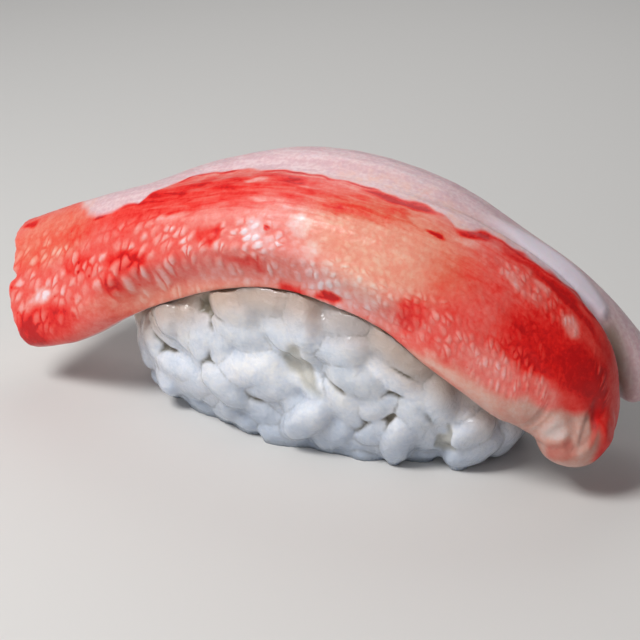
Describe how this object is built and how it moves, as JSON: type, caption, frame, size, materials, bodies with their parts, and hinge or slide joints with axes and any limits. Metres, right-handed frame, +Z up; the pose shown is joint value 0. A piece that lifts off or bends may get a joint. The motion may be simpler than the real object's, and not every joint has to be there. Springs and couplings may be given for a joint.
{
  "type": "snow crab nigiri",
  "caption": "Piece of nigiri: cooked red and white crab leg meat, split along its length, draped over a hand-pressed oblong of rice that stands on its flat base.",
  "frame": {"origin": "on the floor, under the middle of the part's box; the rice's flat base lies at z = 0", "axes": "+X along the crab leg from its cut end to its two free tips, +Y towards the pale half, away from the red skin half, +Z up"},
  "size_m": [0.0806, 0.0262, 0.0323],
  "materials": {
    "crab_meat": "moist, red and white, pebbled",
    "cooked_rice": "moist, translucent white grains"
  },
  "bodies": {
    "root": {"crab_leg": "crab_meat", "rice": "cooked_rice"}
  },
  "joints": []
}
